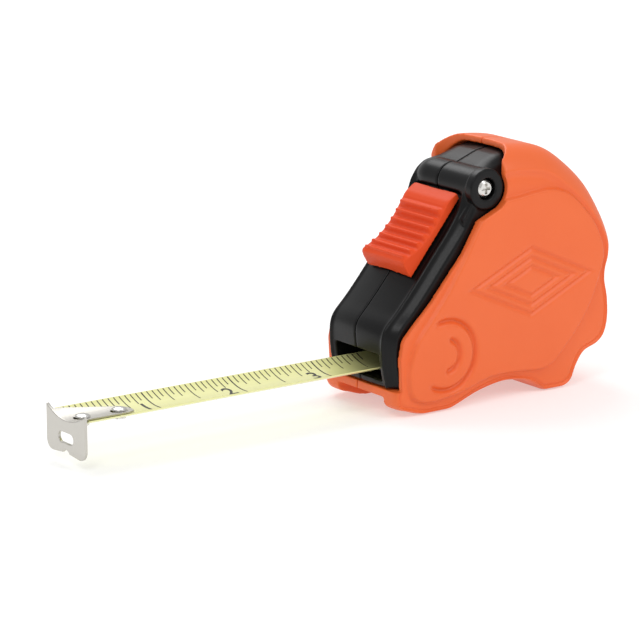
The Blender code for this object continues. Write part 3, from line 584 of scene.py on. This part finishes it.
def make_numbers():
    """A number before each inch line, read from the near side."""
    whole = bmesh.new()
    for inch in (1, 2, 3):
        words = bpy.data.curves.new("number", "FONT")
        words.body = str(inch)
        words.size = 0.0065
        words.offset = 0.00007
        drawn = bpy.data.objects.new("number", words)
        bpy.context.scene.collection.objects.link(drawn)
        mesh = bpy.data.meshes.new_from_object(drawn.evaluated_get(bpy.context.evaluated_depsgraph_get()))
        width = max(v.co.x for v in mesh.vertices)
        mesh.transform(Matrix.Translation(((HOOK + inch * INCH - 2.3) * 0.001 - width, -0.0012, 0.0)))
        whole.from_mesh(mesh)
        bpy.data.objects.remove(drawn, do_unlink=True)
    for y in np.arange(-1.2, 4.4, 0.4):
        parts = whole.verts[:] + whole.edges[:] + whole.faces[:]
        bmesh.ops.bisect_plane(whole, geom=parts, plane_co=(0, y * 0.001, 0), plane_no=(0, 1, 0))
    for vert in whole.verts:
        height = float(blade_under(vert.co.x * 1000, vert.co.y * 1000)) + 0.275
        vert.co.z = height * 0.001
    mesh = bpy.data.meshes.new("blade_numbers")
    whole.to_mesh(mesh)
    whole.free()
    made = bpy.data.objects.new("blade_numbers", mesh)
    bpy.context.scene.collection.objects.link(made)
    return made


# Baked enamel under a clear coat: an even pale yellow with a green cast, glossy, with faint rolling lines
# along the steel, drawn 0.5 mm apart so that they show.
enamel, tree, surface = new_material(
    "yellow_enamelled_steel", {"IOR": 1.5, "Coat Weight": 0.5, "Coat Roughness": 0.12}
)
place = add(tree, "ShaderNodeTexCoord")
drawn_out = add(tree, "ShaderNodeMapping", {"Scale": (60.0, 2000.0, 2000.0)}, {"Vector": (place, "Object")})
rolled = add(tree, "ShaderNodeTexNoise", {"Scale": 1.0, "Detail": 3.0}, {"Vector": (drawn_out, "Vector")})
tones = {"data_type": "RGBA", 6: shade("#DCDB90"), 7: shade("#E8E7A6")}
tint = add(tree, "ShaderNodeMix", tones, {0: (rolled, "Fac")})
tree.links.new(tint.outputs[2], surface.inputs["Base Color"])
rough = add(tree, "ShaderNodeMapRange", {"To Min": 0.26, "To Max": 0.38}, {"Value": (rolled, "Fac")})
tree.links.new(rough.outputs["Result"], surface.inputs["Roughness"])
bump = add(tree, "ShaderNodeBump", {"Strength": 0.15, "Distance": 0.00002}, {"Height": (rolled, "Fac")})
tree.links.new(bump.outputs["Normal"], surface.inputs["Normal"])

# Printing ink: near black and flatter than the enamel, a little uneven where it was laid down.
ink, tree, surface = new_material("black_printing_ink", {"IOR": 1.5})
place = add(tree, "ShaderNodeTexCoord")
laid = add(tree, "ShaderNodeTexNoise", {"Scale": 1200.0, "Detail": 2.0}, {"Vector": (place, "Object")})
tones = {"data_type": "RGBA", 6: shade("#17180F"), 7: shade("#2A2B20")}
tint = add(tree, "ShaderNodeMix", tones, {0: (laid, "Fac")})
tree.links.new(tint.outputs[2], surface.inputs["Base Color"])
rough = add(tree, "ShaderNodeMapRange", {"To Min": 0.4, "To Max": 0.55}, {"Value": (laid, "Fac")})
tree.links.new(rough.outputs["Result"], surface.inputs["Roughness"])

# The strip, its lines and its numbers each get their finish and go with the case; the strip is shaded smooth.
for piece, finish in ((make_blade(), enamel), (make_print(), ink), (make_numbers(), ink)):
    piece.data.materials.clear()
    piece.data.materials.append(finish)
    if piece.name == "blade_strip":
        piece.data.shade_smooth()
        piece.data.set_sharp_from_angle(angle=math.radians(40))
        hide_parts("blade")
    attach(piece, "case")
    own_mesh(piece)

# The end hook
# Pressed from 0.8 mm steel and plated: a face with two lobes and a slot for a nail, bent over into a
# tapered tang. Two rivets hold the tang, in slots that let it slide by its own thickness.
TANG_UNDER = 9.8 + 0.25 + 0.3


def tang_rings():
    steps = [(HOOK - 0.7, 6.5), (HOOK + 1.5, 6.5), (HOOK + 14.8, 3.2)]
    for a in range(12, 80, 11):
        steps.append((HOOK + 14.8 + 3.2 * math.sin(math.radians(a)), 3.2 * math.cos(math.radians(a))))
    rings = []
    for x, half in steps:
        ys = np.linspace(-half, half, 25)
        top = [(x, y, TANG_UNDER + CUP * y * y + 0.5) for y in ys]
        rings.append(top + [(x, y, TANG_UNDER + CUP * y * y) for y in ys[::-1]])
    return rings


def face_rings():
    top = [(y, TANG_UNDER + 0.5 + CUP * y * y) for y in np.linspace(8.6, -8.6, 41)]
    lobe = arc((-6.0, 4.9), 2.6, range(180, 271, 9))
    notch = arc((0.0, 1.9), 1.7, range(150, 29, -10))
    outline = top + lobe + notch + [(-y, z) for y, z in reversed(lobe)]
    return [[(x, y, z) for y, z in outline] for x in (HOOK - 0.8, HOOK)]


hook = skinned("hook_pressing", face_rings())
carve(hook, skinned("tang", tang_rings()), "UNION")
slot = arc((2.0, 6.5), 1.3, range(-90, 91, 10)) + arc((-2.0, 6.5), 1.3, range(90, 271, 10))
carve(hook, skinned("nail_slot", [[(x, y, z) for y, z in slot] for x in (HOOK - 3.0, HOOK + 3.0)]))
turns = np.linspace(0, 2 * math.pi, 48, endpoint=False)
for along in (4.0, 14.4):
    ring = [(HOOK + along - 0.4 + 1.9 * math.cos(a), 1.5 * math.sin(a)) for a in turns]
    carve(hook, skinned("play", [[(x, y, z) for x, y in ring] for z in (8.0, 14.0)]))
moulded(hook, 0.12, 4)


def plated_steel(name, colour, lines, rough_range, strength):
    """Nickel plate over steel, which keeps the fine drawn lines of the metal under it."""
    made, tree, surface = new_material(name, {"Base Color": shade(colour), "Metallic": 1.0})
    place = add(tree, "ShaderNodeTexCoord")
    along = add(tree, "ShaderNodeMapping", {"Scale": lines}, {"Vector": (place, "Object")})
    drawn = add(tree, "ShaderNodeTexNoise", {"Scale": 1.0, "Detail": 4.0}, {"Vector": (along, "Vector")})
    limits = {"To Min": rough_range[0], "To Max": rough_range[1]}
    rough = add(tree, "ShaderNodeMapRange", limits, {"Value": (drawn, "Fac")})
    tree.links.new(rough.outputs["Result"], surface.inputs["Roughness"])
    relief = {"Strength": strength, "Distance": 0.00002}
    bump = add(tree, "ShaderNodeBump", relief, {"Height": (drawn, "Fac")})
    tree.links.new(bump.outputs["Normal"], surface.inputs["Normal"])
    return made


# Satin nickel: pale and slightly warm, with highlights spread across the drawn lines.
satin_nickel = plated_steel(
    "satin_nickel_pressed_steel", "#C6C3BC", (300.0, 4000.0, 300.0), (0.3, 0.42), 0.2
)
hook.data.materials.clear()
hook.data.materials.append(satin_nickel)
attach(hook, "end_hook")
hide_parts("hook")

# The belt clip
# A strip of spring steel, bent so that it lies flat under its screw and then stands off the shell,
# with a flared end that a belt slips under. It is plated like the hook.
CLIP = [
    (16.85, 50.0), (16.85, 44.0), (16.85, 39.6), (17.4, 38.4), (20.9, 35.6), (21.9, 32.8), (21.9, 26.0),
    (21.9, 20.2), (19.8, 16.6), (22.4, 13.0),
]
clip_line = np.array(through(CLIP, 8, closed=False))
ways = np.gradient(clip_line, axis=0)
ways /= np.linalg.norm(ways, axis=1)[:, None]
clip_outer = clip_line + np.column_stack([-ways[:, 1], ways[:, 0]])
outline = list(clip_line) + list(clip_outer[::-1])
clip = skinned("belt_clip_strip", [[(x, y, z) for y, z in outline] for x in (-16.0, -1.0)])
carve(clip, round_bar("hole", CLIP_HOLE, 1.7, 12.0, 30.0))
moulded(clip, 0.2, 3)
clip.data.materials.clear()
clip.data.materials.append(satin_nickel)
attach(clip, "case")
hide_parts("belt_clip")

# Screws, rivets and the arbor
# Cold-headed steel, bright nickel plated: the cross-head screws, the hook's rivets and the reel's pin.
bright_nickel = plated_steel(
    "bright_nickel_headed_steel", "#D8D6D2", (1500.0, 1500.0, 1500.0), (0.16, 0.26), 0.08
)
for name in (
    "shoulder_screw", "lower_front_screw", "lower_rear_screw", "upper_rear_screw", "belt_clip_screw",
    "front_rivet", "rear_rivet", "arbor",
):
    nodes[name].data.materials.clear()
    nodes[name].data.materials.append(bright_nickel)

# The reel and its springs
# A natural acetal drum and lid, moulded, with the blued clock spring inside and the wound blade round it.
acetal = textured_plastic(
    "natural_moulded_acetal", {"IOR": 1.48},
    "#E6E4DC", "#DEDBD2", 0.4, 0.01, (0.38, 0.48),
)
blued_steel = plated_steel("blued_rolled_steel", "#5A5E6A", (300.0, 4000.0, 300.0), (0.24, 0.36), 0.15)
for names, finish in (
    (("reel", "reel_cover"), acetal),
    (("power_spring", "detent_spring"), blued_steel),
    (("blade_coil",), enamel),
):
    for name in names:
        nodes[name].data.materials.clear()
        nodes[name].data.materials.append(finish)

# The brake pad
# Moulded rubber, pressed on to the end of the lock's tongue: matt, with a dusty grain.
rubber = textured_plastic(
    "black_moulded_rubber", {"IOR": 1.52},
    "#2A2A29", "#1F1F1F", 0.4, 0.03, (0.75, 0.88),
)
nodes["brake_pad"].data.materials.clear()
nodes["brake_pad"].data.materials.append(rubber)

# The floor, the lights and the camera
# A pale matt sweep that gives off a little light of its own, so that its shadows stay faint. The key
# light is on the near side, a small one in front picks out the edges, and the strongest is behind.
FLOOR_HALF = 2500
UNDER_FEET = -0.05
corners = [(FLOOR_HALF * x, FLOOR_HALF * y, UNDER_FEET) for x, y in [(-1, -1), (1, -1), (1, 1), (-1, 1)]]
floor = object_from("floor", corners, [(0, 1, 2, 3)])
# White paper: matt, with fibres that shift its tone a little.
paper, tree, surface = new_material(
    "white_matt_paper",
    {
        "Roughness": 0.95,
        "Specular IOR Level": 0.1,
        "Emission Color": (1.0, 1.0, 1.0, 1.0),
        "Emission Strength": 0.42,
    },
)
place = add(tree, "ShaderNodeTexCoord")
fibres = add(tree, "ShaderNodeTexNoise", {"Scale": 300.0}, {"Vector": (place, "Object")})
tones = {"data_type": "RGBA", 6: shade("#CDCDCD"), 7: shade("#D2D2D2")}
tint = add(tree, "ShaderNodeMix", tones, {0: (fibres, "Fac")})
tree.links.new(tint.outputs[2], surface.inputs["Base Color"])
floor.data.materials.append(paper)

world = bpy.data.worlds.new("studio")
bpy.context.scene.world = world
world.use_nodes = True
world.node_tree.nodes["Background"].inputs["Color"].default_value = (1.0, 1.0, 1.0, 1.0)
world.node_tree.nodes["Background"].inputs["Strength"].default_value = 0.64


def soft_light(name, spot, aim, size, watts):
    lamp = bpy.data.lights.new(name, "AREA")
    lamp.shape = "DISK"
    lamp.size = size
    lamp.energy = watts
    made = bpy.data.objects.new(name, lamp)
    bpy.context.scene.collection.objects.link(made)
    made.location = spot
    made.rotation_euler = (Vector(aim) - Vector(spot)).to_track_quat("-Z", "Y").to_euler()


soft_light("key", (0.25, -0.75, 0.65), (-0.03, 0.0, 0.03), 0.5, 2.3)
soft_light("fill", (-0.62, -0.37, 0.75), (-0.03, 0.0, 0.03), 0.35, 1.8)
soft_light("top", (0.06, 0.5, 0.7), (-0.03, 0.0, 0.03), 0.6, 3.2)

view = bpy.data.cameras.new("camera")
view.sensor_width = 36.0
view.lens = 196.9
view.clip_end = 20.0
camera = bpy.data.objects.new("camera", view)
bpy.context.scene.collection.objects.link(camera)
camera.location = (-0.5577, -0.6824, 0.2346)
camera.rotation_euler = Vector((0.569, 0.786, -0.242)).to_track_quat("-Z", "Y").to_euler()
bpy.context.scene.camera = camera
bpy.context.scene.view_settings.view_transform = "Standard"
